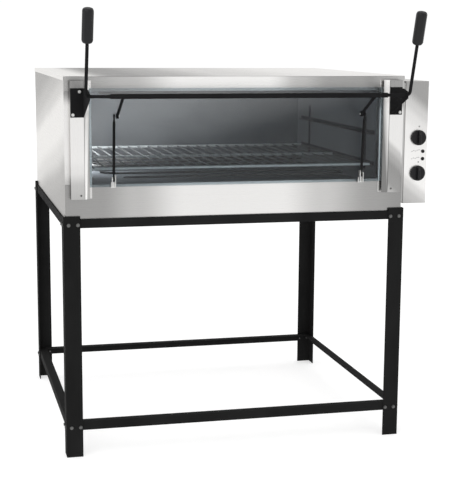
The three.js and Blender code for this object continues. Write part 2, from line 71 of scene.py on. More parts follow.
bpy.ops.object.select_all(action="DESELECT")
bpy.ops.object.camera_add()
camera = bpy.context.object
camera.data.lens = 89.1
camera.data.sensor_width = 36
camera.matrix_world = Matrix.Translation(camera_place) @ camera_turn
scene.camera = camera

world = bpy.data.worlds.new("white_tent")
world.use_nodes = True
world.node_tree.nodes["Background"].inputs["Color"].default_value = (1.0, 1.0, 1.0, 1.0)
world.node_tree.nodes["Background"].inputs["Strength"].default_value = 1.03
scene.world = world


def shader(name, **values):
    """A Principled material. Values that are even all over are set on the shader itself."""
    material = bpy.data.materials.new(name)
    material.use_nodes = True
    tree = material.node_tree
    principled = tree.nodes["Principled BSDF"]
    for socket, value in values.items():
        principled.inputs[socket.replace("_", " ")].default_value = value
    return material, tree, principled


def grain(tree, stretch, detail=3.0, roughness=0.55):
    """Noise over the piece itself, so many cycles a metre along each axis."""
    coordinates = tree.nodes.new("ShaderNodeTexCoord")
    mapping = tree.nodes.new("ShaderNodeMapping")
    mapping.inputs["Scale"].default_value = stretch
    noise = tree.nodes.new("ShaderNodeTexNoise")
    noise.inputs["Scale"].default_value = 1.0
    noise.inputs["Detail"].default_value = detail
    noise.inputs["Roughness"].default_value = roughness
    tree.links.new(coordinates.outputs["Object"], mapping.inputs["Vector"])
    tree.links.new(mapping.outputs["Vector"], noise.inputs["Vector"])
    return noise.outputs["Fac"]


def spread(tree, source, low, high, start=0.3, end=0.7):
    """Turns a 0 to 1 pattern into values from low to high."""
    node = tree.nodes.new("ShaderNodeMapRange")
    node.inputs["From Min"].default_value = start
    node.inputs["From Max"].default_value = end
    node.inputs["To Min"].default_value = low
    node.inputs["To Max"].default_value = high
    tree.links.new(source, node.inputs["Value"])
    return node.outputs["Result"]


def two_tone(tree, source, dark, light, start=0.3, end=0.7):
    """Turns a 0 to 1 pattern into a colour between two."""
    node = tree.nodes.new("ShaderNodeMix")
    node.data_type = "RGBA"
    node.inputs["A"].default_value = (*dark, 1.0)
    node.inputs["B"].default_value = (*light, 1.0)
    tree.links.new(spread(tree, source, 0.0, 1.0, start, end), node.inputs["Factor"])
    return node.outputs["Result"]


def relief(tree, source, principled, strength, depth):
    """Raises the surface by the pattern."""
    node = tree.nodes.new("ShaderNodeBump")
    node.inputs["Strength"].default_value = strength
    node.inputs["Distance"].default_value = depth
    tree.links.new(source, node.inputs["Height"])
    tree.links.new(node.outputs["Normal"], principled.inputs["Normal"])


def studio_floor():
    material, tree, principled = shader(
        "floor_paint", Roughness=0.9, Specular_IOR_Level=0.1, Emission_Color=(1.0, 1.0, 1.0, 1.0),
        Emission_Strength=0.61)
    tone = two_tone(tree, grain(tree, (3, 3, 3)), (0.49, 0.49, 0.49), (0.51, 0.51, 0.51))
    tree.links.new(tone, principled.inputs["Base Color"])
    return material


bpy.ops.mesh.primitive_plane_add(size=60.0)
floor = bpy.context.object
floor.name = "studio_floor"
floor.data.materials.append(studio_floor())

bpy.ops.object.light_add(type="AREA", location=(-2.6, -3.2, 3.4))
key = bpy.context.object
key.data.size = 2.4
key.data.energy = 45
key_target = Vector((0, 0, 1.0))
key.rotation_euler = (key_target - key.location).to_track_quat("-Z", "Y").to_euler()

chamber_low, chamber_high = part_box("cavity_floor")[0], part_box("cavity_ceiling")[1]
LAMP_FROM_WALL = 15 * MM
LAMP_FROM_FRONT = 580 * MM
LAMP_UNDER_CEILING = 90 * MM
glow_place = Vector((
    chamber_low.x + LAMP_FROM_WALL,
    chamber_low.y + LAMP_FROM_FRONT,
    chamber_high.z - LAMP_UNDER_CEILING,
))
bpy.ops.object.light_add(type="AREA", location=glow_place)
glow = bpy.context.object
glow.data.shape = "RECTANGLE"
glow.data.size = 0.14
glow.data.size_y = 0.60
glow.data.energy = 15.0
glow.visible_camera = False
glow.visible_transmission = False
glow.visible_glossy = False
glow.rotation_euler = Vector((1.0, 0.0, -0.05)).to_track_quat("-Z", "Y").to_euler()


# Stand.
# Four upright legs of 56 mm steel angle and two rings of 30 mm rail angle, all in black powder coat.
# Every joint has two hexagon bolts with washers through each leg flange.
def powder_coat(name, dark, light):
    material, tree, principled = shader(name, Specular_IOR_Level=0.03)
    peel = grain(tree, (900, 900, 900), 2.0)
    patches = grain(tree, (9, 9, 4), 4.0)
    tree.links.new(two_tone(tree, patches, dark, light), principled.inputs["Base Color"])
    tree.links.new(spread(tree, patches, 0.68, 0.82), principled.inputs["Roughness"])
    relief(tree, peel, principled, 0.2, 0.0001)
    return material


def modify(piece, kind, **settings):
    """Adds one modifier and applies it."""
    bpy.ops.object.select_all(action="DESELECT")
    piece.select_set(True)
    bpy.context.view_layer.objects.active = piece
    modifier = piece.modifiers.new(kind.lower(), kind)
    for setting, value in settings.items():
        setattr(modifier, setting, value)
    bpy.ops.object.modifier_apply(modifier=modifier.name)


def round_edges(piece, width, segments=3, sharper_than=25):
    """Rounds every edge sharper than an angle, and shades what is left smooth."""
    modify(piece, "BEVEL", width=width, segments=segments, limit_method="ANGLE",
           angle_limit=math.radians(sharper_than), use_clamp_overlap=True)
    bpy.ops.object.shade_smooth_by_angle(angle=math.radians(50))
    modify(piece, "WEIGHTED_NORMAL", keep_sharp=True)


def skin(node, flat_within=1.0):
    """A copy of a node's solid, with its triangles merged back into flat faces."""
    bpy.ops.object.select_all(action="DESELECT")
    piece = bpy.data.objects.new(node + "_finished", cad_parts[node].data.copy())
    piece.data.materials.clear()
    bpy.context.collection.objects.link(piece)
    piece.select_set(True)
    bpy.context.view_layer.objects.active = piece
    bpy.ops.object.mode_set(mode="EDIT")
    bpy.ops.mesh.select_all(action="SELECT")
    bpy.ops.mesh.remove_doubles(threshold=0.00001)
    bpy.ops.mesh.dissolve_limited(angle_limit=math.radians(flat_within))
    bpy.ops.object.mode_set(mode="OBJECT")
    return piece


def fit(piece, material, slot, body, *nodes):
    """Gives a finished piece its material, its body and the nodes that it stands for."""
    piece.data.materials.clear()
    piece.data.materials.append(material)
    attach(piece, body)
    if nodes:
        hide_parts(*nodes)


def finish_node(node, material, slot, body, edge, segments=3):
    piece = skin(node)
    round_edges(piece, edge, segments)
    fit(piece, material, slot, body, node)
    return piece


stand_black = powder_coat("stand_black", (0.0100, 0.0100, 0.0100), (0.0150, 0.0150, 0.0150))
for end in ("front", "rear"):
    for side in ("left", "right"):
        finish_node(f"leg_{end}_{side}", stand_black, "stand_paint", "body", 1.0 * MM)
for level in ("top", "low"):
    for side in ("front", "rear", "left", "right"):
        finish_node(f"{level}_rail_{side}", stand_black, "stand_paint", "body", 0.8 * MM)


def dull_zinc(name, dark, light):
    material, tree, principled = shader(name, Metallic=1.0)
    blotches = grain(tree, (260, 260, 260), 4.0)
    tree.links.new(two_tone(tree, blotches, dark, light), principled.inputs["Base Color"])
    tree.links.new(spread(tree, blotches, 0.32, 0.5), principled.inputs["Roughness"])
    relief(tree, grain(tree, (1500, 1500, 1500), 2.0), principled, 0.2, 0.00005)
    return material


def unite(first, others, operation="UNION"):
    """Joins or cuts solids into one closed solid."""
    for other in others:
        modify(first, "BOOLEAN", object=other, operation=operation, solver="EXACT")
        bpy.data.objects.remove(other)
    return first


def barrel(name, radius, depth, centre=(0, 0, 0), sides=32):
    """An upright solid cylinder."""
    bpy.ops.object.select_all(action="DESELECT")
    bpy.ops.mesh.primitive_cylinder_add(vertices=sides, radius=radius, depth=depth, location=centre)
    bpy.context.object.name = name
    bpy.ops.object.transform_apply(location=True, rotation=True, scale=True)
    return bpy.context.object


def hex_bolt(size):
    """A hexagon head and its washer, standing on z = 0 with a short shank below."""
    washer = barrel("bolt", 1.05 * size, 0.16 * size, (0, 0, 0.08 * size))
    head = barrel("head", 0.96 * size, 0.62 * size, (0, 0, 0.46 * size), 6)
    crown = barrel("crown", 0.82 * size, 1.0 * size, (0, 0, 0.33 * size))
    shank = barrel("shank", 0.5 * size, 1.2 * size, (0, 0, -0.55 * size), 24)
    bolt = unite(washer, [head, crown, shank])
    round_edges(bolt, 0.06 * size, 2, 40)
    return bolt


def copies(pattern, name, places):
    """Copies of a fastener, one at each (place, outward direction), joined into one piece."""
    bpy.ops.object.select_all(action="DESELECT")
    made = []
    for place, outward in places:
        turn = Vector(outward).to_track_quat("Z", "Y").to_matrix().to_4x4()
        piece = bpy.data.objects.new(name, pattern.data.copy())
        piece.data.transform(Matrix.Translation(place) @ turn)
        bpy.context.collection.objects.link(piece)
        piece.select_set(True)
        made.append(piece)
    bpy.context.view_layer.objects.active = made[0]
    bpy.ops.object.join()
    made[0].name = name
    return made[0]


bolt_zinc = dull_zinc("bolt_zinc", (0.10, 0.10, 0.10), (0.17, 0.17, 0.165))
leg_bolt = hex_bolt(6 * MM)
BOLT_COLUMNS = (17 * MM, 48 * MM)
BOLT_SINK = 4 * MM
for end, front in (("front", -1), ("rear", 1)):
    for side, outer in (("left", -1), ("right", 1)):
        low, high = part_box(f"leg_{end}_{side}")
        face_x = low.x if outer < 0 else high.x
        face_y = low.y if front < 0 else high.y
        places = []
        for level in ("top", "low"):
            rail_low, rail_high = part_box(f"{level}_rail_{end}")
            height = (rail_low.z + rail_high.z) / 2 - BOLT_SINK
            for column in BOLT_COLUMNS:
                places.append(((face_x - outer * column, face_y, height), (0, front, 0)))
                places.append(((face_x, face_y - front * column, height), (outer, 0, 0)))
        bolts = copies(leg_bolt, f"leg_bolts_{end}_{side}", places)
        fit(bolts, bolt_zinc, "lug_zinc", "body")
bpy.data.objects.remove(leg_bolt)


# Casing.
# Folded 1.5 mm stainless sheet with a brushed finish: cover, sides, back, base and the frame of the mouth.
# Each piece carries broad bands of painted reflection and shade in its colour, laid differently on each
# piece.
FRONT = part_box("front_header")
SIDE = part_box("side_panel_left")


def distance_along(tree, direction):
    """How far a point of the piece lies along a direction, in metres."""
    coordinates = tree.nodes.new("ShaderNodeTexCoord")
    travel = tree.nodes.new("ShaderNodeVectorMath")
    travel.operation = "DOT_PRODUCT"
    travel.inputs[1].default_value = direction
    tree.links.new(coordinates.outputs["Object"], travel.inputs[0])
    return travel.outputs["Value"]


def brushed_steel_painted_light(name, direction, span, tones, brush, drift=0.10, rough=(0.24, 0.36)):
    """Brushed sheet. Its colour carries painted reflection and shade that change slowly in one direction, and
    the brush marks run along an axis.
    """
    material, tree, principled = shader(name, Metallic=1.0)
    along = spread(tree, distance_along(tree, direction), 0.0, 1.0, *span)
    wander = spread(tree, grain(tree, (1.6, 1.6, 1.6), 2.0), -drift, drift)
    place = tree.nodes.new("ShaderNodeMath")
    place.operation = "ADD"
    tree.links.new(along, place.inputs[0])
    tree.links.new(wander, place.inputs[1])
    # Painted reflection and shade: the tones at shares of the span, used for both the colour and the
    # reflection tint.
    ramp = tree.nodes.new("ShaderNodeValToRGB")
    ramp.color_ramp.interpolation = "EASE"
    while len(ramp.color_ramp.elements) < len(tones):
        ramp.color_ramp.elements.new(0.5)
    for element, (position, tone) in zip(ramp.color_ramp.elements, tones):
        element.position = position
        element.color = (tone, 0.99 * tone, 0.975 * tone, 1.0)
    tree.links.new(place.outputs["Value"], ramp.inputs["Fac"])

    fine = {"X": (3, 700, 700), "Y": (700, 3, 700), "Z": (700, 700, 3)}[brush]
    marks = grain(tree, fine, 4.0, 0.7)
    shade = tree.nodes.new("ShaderNodeMix")
    shade.data_type = "RGBA"
    shade.blend_type = "MULTIPLY"
    shade.inputs["Factor"].default_value = 1.0
    tree.links.new(ramp.outputs["Color"], shade.inputs["A"])
    tree.links.new(two_tone(tree, marks, (0.965, 0.965, 0.965), (1.0, 1.0, 1.0)), shade.inputs["B"])
    tree.links.new(shade.outputs["Result"], principled.inputs["Base Color"])
    tree.links.new(shade.outputs["Result"], principled.inputs["Specular Tint"])
    tree.links.new(spread(tree, marks, *rough), principled.inputs["Roughness"])
    relief(tree, marks, principled, 0.04, 0.00005)
    return material


ALONG_X = (1.0, 0.0, 0.0)
ALONG_Z = (0.0, 0.0, 1.0)
front_span = (FRONT[0].x, FRONT[1].x)
# Each ramp below is painted reflection and shade, as (share of the span, tone) pairs.
header_steel = brushed_steel_painted_light("header_steel", ALONG_X, front_span, (
    (0.0, 0.42), (0.05, 0.36), (0.20, 0.50), (0.34, 0.86), (0.58, 0.87), (0.67, 0.53), (0.78, 0.37),
    (0.86, 0.37), (1.0, 0.46)), "X", 0.02)
sill_steel = brushed_steel_painted_light("sill_steel", ALONG_X, front_span, (
    (0.0, 0.30), (0.10, 0.31), (0.20, 0.46), (0.34, 0.74), (0.62, 0.75), (0.75, 0.54), (0.90, 0.33),
    (1.0, 0.28)), "X", 0.01)
cover_steel = brushed_steel_painted_light("cover_steel", ALONG_X, front_span, (
    (0.0, 0.87), (0.055, 0.85), (0.07, 0.78), (0.09, 0.66), (0.11, 0.52), (0.14, 0.43), (0.20, 0.43),
    (0.27, 0.50), (0.30, 0.53), (0.50, 0.74), (0.80, 0.86), (1.0, 0.88)), "Y", 0.005)
SIDE_TILT = 0.2
side_front = SIDE_TILT * SIDE[0].y
side_span = (side_front + SIDE[0].z, side_front + SIDE[1].z + SIDE_TILT * (SIDE[1].y - SIDE[0].y))
side_steel = brushed_steel_painted_light("side_steel", (0.0, SIDE_TILT, 1.0), side_span, (
    (0.0, 0.56), (0.15, 0.56), (0.23, 0.60), (0.35, 0.77), (0.45, 0.85), (0.58, 0.85), (0.66, 0.73),
    (0.73, 0.66), (0.85, 0.58), (1.0, 0.58)), "Y", 0.02)
plain_steel = brushed_steel_painted_light("plain_steel", ALONG_X, front_span, (
    (0.0, 0.62), (0.3, 0.80), (0.6, 0.68), (1.0, 0.82)), "Z", 0.15)
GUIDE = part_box("door_guide_left")
guide_span = (GUIDE[0].z, GUIDE[1].z)
left_guide_steel = brushed_steel_painted_light("left_guide_steel", ALONG_Z, guide_span, (
    (0.0, 0.44), (0.10, 0.48), (0.24, 0.70), (0.34, 0.75), (0.78, 0.75), (0.90, 0.33),
    (1.0, 0.31)), "Z", 0.01)
GUIDE_TILT = 0.9
tilt_start = GUIDE[0].z + GUIDE_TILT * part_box("door_guide_right")[0].x - 0.02
tilt_span = (tilt_start, tilt_start + 0.45)
right_guide_steel = brushed_steel_painted_light("right_guide_steel", (GUIDE_TILT, 0.0, 1.0), tilt_span, (
    (0.0, 0.46), (0.10, 0.44), (0.17, 0.31), (0.30, 0.29), (0.37, 0.38), (0.44, 0.52), (0.50, 0.76),
    (0.80, 0.76), (0.88, 0.33), (1.0, 0.33)), "Z", 0.01)
for node, steel in (
    ("front_header", header_steel), ("front_sill", sill_steel), ("front_post_left", left_guide_steel),
    ("front_post_right", right_guide_steel), ("top_cover", cover_steel), ("side_panel_left", side_steel),
    ("side_panel_right", side_steel), ("back_panel", plain_steel), ("base_pan", plain_steel),
):
    finish_node(node, steel, "casing_steel", "body", 0.5 * MM)


# Lining and rack supports.
# Dark sheet steel, browned by heat, that makes the baking chamber, and two angle ledges on straps along
# each wall.
def baked_sheet(name, dark, light):
    material, tree, principled = shader(name, Metallic=0.7)
    baked = grain(tree, (5, 5, 7), 5.0)
    tree.links.new(two_tone(tree, baked, dark, light), principled.inputs["Base Color"])
    tree.links.new(spread(tree, baked, 0.35, 0.55), principled.inputs["Roughness"])
    relief(tree, grain(tree, (400, 400, 400), 2.0), principled, 0.1, 0.0001)
    return material


chamber = baked_sheet("chamber_sheet", (0.16, 0.165, 0.175), (0.26, 0.265, 0.28))
ledge_steel = baked_sheet("ledge_steel", (0.025, 0.026, 0.028), (0.05, 0.052, 0.055))
for node in ("cavity_floor", "cavity_ceiling", "cavity_wall_left", "cavity_wall_right", "cavity_back"):
    finish_node(node, chamber, "chamber_steel", "body", 0.4 * MM, 2)
for node in ("rack_support_left", "rack_support_right"):
    finish_node(node, ledge_steel, "chamber_steel", "body", 0.4 * MM, 2)


# Insulation.
# One mineral-wool jacket, pressed round the lining and hidden by the casing.
def mineral_wool():
    material, tree, principled = shader("mineral_wool", Roughness=0.95, Specular_IOR_Level=0.05)
    fibres = grain(tree, (300, 300, 60), 6.0, 0.7)
    tone = two_tone(tree, fibres, (0.40, 0.33, 0.18), (0.62, 0.55, 0.36))
    tree.links.new(tone, principled.inputs["Base Color"])
    relief(tree, fibres, principled, 0.8, 0.002)
    return material


finish_node("insulation_jacket", mineral_wool(), "wool", "body", 3 * MM)


# Rack.
# Round wires, browned by use, welded across three thicker bright bars that rest on the ledges.
def wire_metal(name, dark, light):
    material, tree, principled = shader(name, Metallic=0.55)
    haze = grain(tree, (60, 12, 60), 4.0)
    tree.links.new(two_tone(tree, haze, dark, light), principled.inputs["Base Color"])
    tree.links.new(spread(tree, haze, 0.36, 0.5), principled.inputs["Roughness"])
    return material


def rod_between(name, start, end, radius, sides=24):
    """A straight round rod from one point to another, with its rims rounded."""
    start = Vector(start)
    end = Vector(end)
    rod = barrel(name, radius, (end - start).length, (0, 0, 0), sides)
    turn = (end - start).to_track_quat("Z", "Y").to_matrix().to_4x4()
    rod.data.transform(Matrix.Translation((start + end) / 2) @ turn)
    round_edges(rod, 0.25 * radius, 2, 40)
    return rod


def gather(name, parts):
    """Joins parts into one piece without merging them."""
    bpy.ops.object.select_all(action="DESELECT")
    for part in parts:
        part.select_set(True)
    bpy.context.view_layer.objects.active = parts[0]
    bpy.ops.object.join()
    parts[0].name = name
    return parts[0]


RACK_LOW, RACK_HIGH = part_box("rack")
BAR_RADIUS = 5 * MM
WIRE_RADIUS = 2.5 * MM
WIRE_INSET = 2 * MM
WIRES = 25
bar_height = RACK_HIGH.z - BAR_RADIUS
wire_height = RACK_HIGH.z - WIRE_INSET - WIRE_RADIUS
bars = []
for y in (RACK_LOW.y + BAR_RADIUS, (RACK_LOW.y + RACK_HIGH.y) / 2, RACK_HIGH.y - BAR_RADIUS):
    bars.append(rod_between("bar", (RACK_LOW.x, y, bar_height), (RACK_HIGH.x, y, bar_height), BAR_RADIUS))
wires = []
first_wire = RACK_LOW.x + WIRE_RADIUS
wire_pitch = (RACK_HIGH.x - RACK_LOW.x - 2 * WIRE_RADIUS) / (WIRES - 1)
for number in range(WIRES):
    x = first_wire + number * wire_pitch
    wires.append(rod_between("wire", (x, RACK_LOW.y + WIRE_INSET, wire_height),
                             (x, RACK_HIGH.y - WIRE_INSET, wire_height), WIRE_RADIUS, 12))
bright_chrome = wire_metal("bright_chrome", (0.62, 0.62, 0.62), (0.80, 0.80, 0.79))
baked_chrome = wire_metal("baked_chrome", (0.10, 0.10, 0.10), (0.16, 0.16, 0.155))
fit(gather("rack_bars", bars), bright_chrome, "rack_chrome", "body", "rack")
fit(gather("rack_wires", wires), baked_chrome, "rack_chrome", "body")


# Heating elements and thermostat bulb.
# Sheathed tubes folded to and fro below the rack and under the ceiling, and the thermostat's bulb on the
# right wall.
def element_sheath():
    material, tree, principled = shader("element_sheath", Metallic=0.6)
    scale_marks = grain(tree, (40, 40, 40), 5.0)
    tree.links.new(two_tone(tree, scale_marks, (0.13, 0.125, 0.12), (0.22, 0.21, 0.20)),
                   principled.inputs["Base Color"])
    tree.links.new(spread(tree, scale_marks, 0.5, 0.75), principled.inputs["Roughness"])
    relief(tree, grain(tree, (900, 900, 900), 3.0), principled, 0.3, 0.0001)
    return material


sheath = element_sheath()
for level in ("lower", "upper"):
    element = skin(f"{level}_element", 0.01)
    bpy.ops.object.mode_set(mode="EDIT")
    bpy.ops.mesh.select_all(action="SELECT")
    bpy.ops.mesh.tris_convert_to_quads()
    bpy.ops.object.mode_set(mode="OBJECT")
    modify(element, "SUBSURF", levels=1, render_levels=1)
    bpy.ops.object.shade_smooth_by_angle(angle=math.radians(60))
    fit(element, sheath, "element_sheath", "body", f"{level}_element")
low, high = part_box("thermostat_bulb")
middle = (low + high) / 2
bulb_radius = (high.x - low.x) / 2
bulb = rod_between("bulb", (middle.x, low.y, middle.z), (middle.x, high.y, middle.z), bulb_radius)
bulb.name = "capillary_bulb"
fit(bulb, bright_chrome, "rack_chrome", "body", "thermostat_bulb")


# Door guides and tracks.
# A folded cover over each front post, held by a screw at its foot, with its inner edge bent back over the
# glass. A steel angle behind the glass makes the other side of the track. Screws of the same kind hold
# the back panel.
def slab(name, size, centre=(0, 0, 0)):
    """A solid block of a size."""
    bpy.ops.object.select_all(action="DESELECT")
    bpy.ops.mesh.primitive_cube_add(size=1.0, location=centre, scale=size)
    bpy.context.object.name = name
    bpy.ops.object.transform_apply(location=True, rotation=True, scale=True)
    return bpy.context.object


def round_rims(piece, width, segments):
    """Rounds the rims of a turned or moulded part."""
    modify(piece, "BEVEL", width=width, segments=segments, limit_method="ANGLE", angle_limit=math.radians(40))


def pan_screw(size):
    """A domed screw head with a crosshead recess, standing on z = 0 with a short shank below."""
    head = barrel("screw", size, 0.6 * size, (0, 0, 0.3 * size))
    round_rims(head, 0.4 * size, 4)
    shank = barrel("shank", 0.5 * size, 1.4 * size, (0, 0, -0.6 * size), 16)
    unite(head, [shank])
    slots = [slab("slot", (0.26 * size, 1.1 * size, 0.5 * size), (0, 0, 0.6 * size)),
             slab("slot", (1.1 * size, 0.26 * size, 0.5 * size), (0, 0, 0.6 * size))]
    unite(head, slots, "DIFFERENCE")
    bpy.ops.object.shade_smooth_by_angle(angle=math.radians(40))
    return head


# Painted reflection: the track is lightest at mid height.
track_steel = brushed_steel_painted_light("track_steel", ALONG_Z, guide_span, (
    (0.0, 0.60), (0.5, 0.80), (1.0, 0.75)), "Z", 0.1, (0.20, 0.30))
screw = pan_screw(3.4 * MM)
GUIDE_SCREW_UP = 13 * MM
GUIDE_SCREW_IN = 12 * MM
FOLD_WIDTH = 18 * MM
FOLD_LEVEL = 1120 * MM
SEAM = 1.2 * MM
# Painted highlight and shade on the bent-back folds: a bright band across the left one, and shade deepening
# towards the inner edge of the right one.
left_fold_painted_light = ((0.0, 0.44), (0.15, 0.62), (0.38, 0.94), (0.78, 0.92), (1.0, 0.42))
right_fold_painted_light = ((0.0, 0.84), (0.3, 0.70), (0.6, 0.48), (1.0, 0.20))
for side, steel, inward, fold_tilt, fold_painted_light in (
    ("left", left_guide_steel, 1, 0.035, left_fold_painted_light),
    ("right", right_guide_steel, -1, 0.065, right_fold_painted_light),
):
    finish_node(f"guide_track_{side}", track_steel, "track_steel", "body", 0.3 * MM)
    low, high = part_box(f"door_guide_{side}")
    middle = (low + high) / 2
    size = (high - low) * 1.1
    fold_x = (high.x if inward > 0 else low.x) - inward * FOLD_WIDTH
    cover = skin(f"door_guide_{side}")
    unite(cover, [slab("trim", size, (fold_x + inward * size.x / 2, middle.y, middle.z))], "DIFFERENCE")
    round_edges(cover, 0.4 * MM)
    fit(cover, steel, "casing_steel", "body", f"door_guide_{side}")
    fold = skin(f"door_guide_{side}")
    fold.name = f"door_guide_fold_{side}"
    trim_x = fold_x + inward * (SEAM - size.x / 2)
    unite(fold, [slab("trim", size, (trim_x, middle.y, middle.z))], "DIFFERENCE")
    round_edges(fold, 0.3 * MM)
    fold_start = inward * fold_x - fold_tilt * FOLD_LEVEL
    fold_span = (fold_start, fold_start + FOLD_WIDTH)
    fold_steel = brushed_steel_painted_light(
        f"fold_steel_{side}", (inward, 0.0, -fold_tilt), fold_span, fold_painted_light, "Z", 0.01)
    fit(fold, fold_steel, "casing_steel", "body")
    place = (fold_x - inward * GUIDE_SCREW_IN, low.y, low.z + GUIDE_SCREW_UP)
    foot_screw = copies(screw, f"guide_screw_{side}", [(place, (0, -1, 0))])
    fit(foot_screw, bolt_zinc, "lug_zinc", "body")
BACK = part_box("back_panel")
back_screws = []
for across_share in (0.03, 0.27, 0.5, 0.73, 0.97):
    for up_share in (0.04, 0.96):
        x = BACK[0].x + across_share * (BACK[1].x - BACK[0].x)
        z = BACK[0].z + up_share * (BACK[1].z - BACK[0].z)
        back_screws.append(((x, BACK[1].y, z), (0, 1, 0)))
fit(copies(screw, "back_screws", back_screws), bolt_zinc, "lug_zinc", "body")
bpy.data.objects.remove(screw)


# Glass door.
# One pane of 6 mm grey-tinted tempered glass with ground edges. A rough coat lies over it as a painted sheen,
# thickest in the upper left corner.
SHEEN_START = 1.10
SHEEN_END = 1.28


def tinted_glass():
    material, tree, principled = shader(
        "tinted_glass", Transmission_Weight=1.0, IOR=1.5, Specular_Tint=(0.10, 0.10, 0.10, 1.0),
        Base_Color=(0.63, 0.69, 0.72, 1.0), Coat_IOR=2.2, Coat_Roughness=0.6)
    # Painted sheen: the coat thickens towards the upper left.
    up_and_left = distance_along(tree, (-0.25, 0.0, 1.0))
    sheen_weight = spread(tree, up_and_left, 0.13, 1.0, SHEEN_START, SHEEN_END)
    tree.links.new(sheen_weight, principled.inputs["Coat Weight"])
    wipes = grain(tree, (4, 4, 14), 4.0)
    tree.links.new(spread(tree, wipes, 0.0, 0.06, 0.6, 0.9), principled.inputs["Roughness"])
    return material


low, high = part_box("glass_pane")
pane = slab("door_pane", high - low, (low + high) / 2)
round_edges(pane, 0.8 * MM, 2)
fit(pane, tinted_glass(), "door_glass", "door", "glass_pane")


# Lugs and links.
# A folded zinc-plated lug hooks under the glass at each side, and a black rod is pinned between its ears.
lug_zinc = dull_zinc("lug_zinc", (0.62, 0.62, 0.61), (0.80, 0.80, 0.79))
gear_black = powder_coat("gear_black", (0.0090, 0.0090, 0.0095), (0.0135, 0.0135, 0.0140))
for side in ("left", "right"):
    finish_node(f"lug_{side}", lug_zinc, "lug_zinc", "door", 0.35 * MM)
    finish_node(f"link_{side}", gear_black, "gear_paint", f"link_{side}", 0.3 * MM, 2)


# Cross shaft, cranks and levers.
# A steel tube across the front, with a bent rod pushed into each end as the lever and a crank welded on near
# it. A bolt at each elbow joins the crank to its link.
for node in ("cross_shaft", "crank_left", "crank_right", "lever_left", "lever_right"):
    finish_node(node, gear_black, "gear_paint", "lift_gear", 0.3 * MM, 2)

elbow_bolt = hex_bolt(3 * MM)
CRANK_EYE = 9 * MM
ELBOW_SEAT = 1 * MM
for side, inward in (("left", 1), ("right", -1)):
    low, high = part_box(f"crank_{side}")
    seat = (high.x if inward > 0 else low.x) - inward * ELBOW_SEAT
    place = (seat, high.y - CRANK_EYE, low.z + CRANK_EYE)
    bolt = copies(elbow_bolt, f"elbow_bolt_{side}", [(place, (inward, 0, 0))])
    fit(bolt, lug_zinc, "lug_zinc", "lift_gear")
bpy.data.objects.remove(elbow_bolt)


# Grips.
# Black moulded plastic handles, ten-sided with rounded corners, a shoulder at the foot and a low domed top.
def moulded_plastic(name, dark, light, rough=(0.35, 0.5)):
    material, tree, principled = shader(name, Specular_IOR_Level=0.22)
    texture = grain(tree, (1400, 1400, 1400), 2.0)
    flow = grain(tree, (30, 30, 12), 3.0)
    tree.links.new(two_tone(tree, flow, dark, light), principled.inputs["Base Color"])
    tree.links.new(spread(tree, flow, *rough), principled.inputs["Roughness"])
    relief(tree, texture, principled, 0.2, 0.0001)
    return material


GRIP_SIDES = 10
GRIP_FOOT_RADIUS = 12.5
GRIP_PROFILE = ((3, 16.5), (9, 18.5), (101, 18.5), (107.5, 16), (110, 9))
LEVER_LEAN = math.radians(17.5)
GRIP_START = 173 * MM


def lever_grip(name):
    """An upright grip on z = 0, raised from its foot through the profile's heights and radii in mm."""
    bpy.ops.object.select_all(action="DESELECT")
    bpy.ops.mesh.primitive_circle_add(vertices=GRIP_SIDES, radius=GRIP_FOOT_RADIUS * MM, fill_type="NGON")
    grip = bpy.context.object
    grip.name = name
    bpy.ops.object.mode_set(mode="EDIT")
    bpy.ops.mesh.select_all(action="SELECT")
    height = 0
    radius = GRIP_FOOT_RADIUS
    for next_height, next_radius in GRIP_PROFILE:
        rise = (0, 0, (next_height - height) * MM)
        bpy.ops.mesh.extrude_region_move(TRANSFORM_OT_translate={"value": rise})
        ratio = next_radius / radius
        bpy.ops.transform.resize(value=(ratio, ratio, 1), center_override=(0, 0, next_height * MM))
        height, radius = next_height, next_radius
    bpy.ops.mesh.select_all(action="SELECT")
    bpy.ops.mesh.normals_make_consistent(inside=False)
    bpy.ops.object.mode_set(mode="OBJECT")
    round_edges(grip, 2.2 * MM, 4, 20)
    return grip


grip_black = moulded_plastic("grip_black", (0.007, 0.007, 0.008), (0.011, 0.011, 0.012))
shaft_low, shaft_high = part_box("cross_shaft")
shaft_axis = (shaft_low + shaft_high) / 2
for side in ("left", "right"):
    low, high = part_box(f"grip_{side}")
    grip = lever_grip(f"handle_{side}")
    place = Vector(((low.x + high.x) / 2, shaft_axis.y, shaft_axis.z))
    lean = Matrix.Rotation(LEVER_LEAN, 4, "X") @ Matrix.Translation((0, 0, GRIP_START))
    grip.data.transform(Matrix.Translation(place) @ lean)
    fit(grip, grip_black, "grip_plastic", "lift_gear", f"grip_{side}")


# Lever brackets.
# One black plate at each side: a flange bolted over the door guide and an ear that carries the lever.
bracket_bolt = hex_bolt(5 * MM)
bright_bolt = dull_zinc("bright_bolt", (0.50, 0.50, 0.49), (0.70, 0.70, 0.69))
BRACKET_THICK = 3 * MM
BOLT_SPOTS = ((0.69, 0.88), (0.18, 0.09))
for side in ("left", "right"):
    finish_node(f"lever_bracket_{side}", gear_black, "gear_paint", "body", 0.5 * MM)
    low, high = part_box(f"lever_bracket_{side}")
    places = []
    for inward, up in BOLT_SPOTS:
        share = inward if side == "left" else 1 - inward
        spot = (low.x + share * (high.x - low.x), high.y - BRACKET_THICK, low.z + up * (high.z - low.z))
        places.append((spot, (0, -1, 0)))
    bolts = copies(bracket_bolt, f"bracket_bolts_{side}", places)
    fit(bolts, bright_bolt, "lug_zinc", "body")
bpy.data.objects.remove(bracket_bolt)


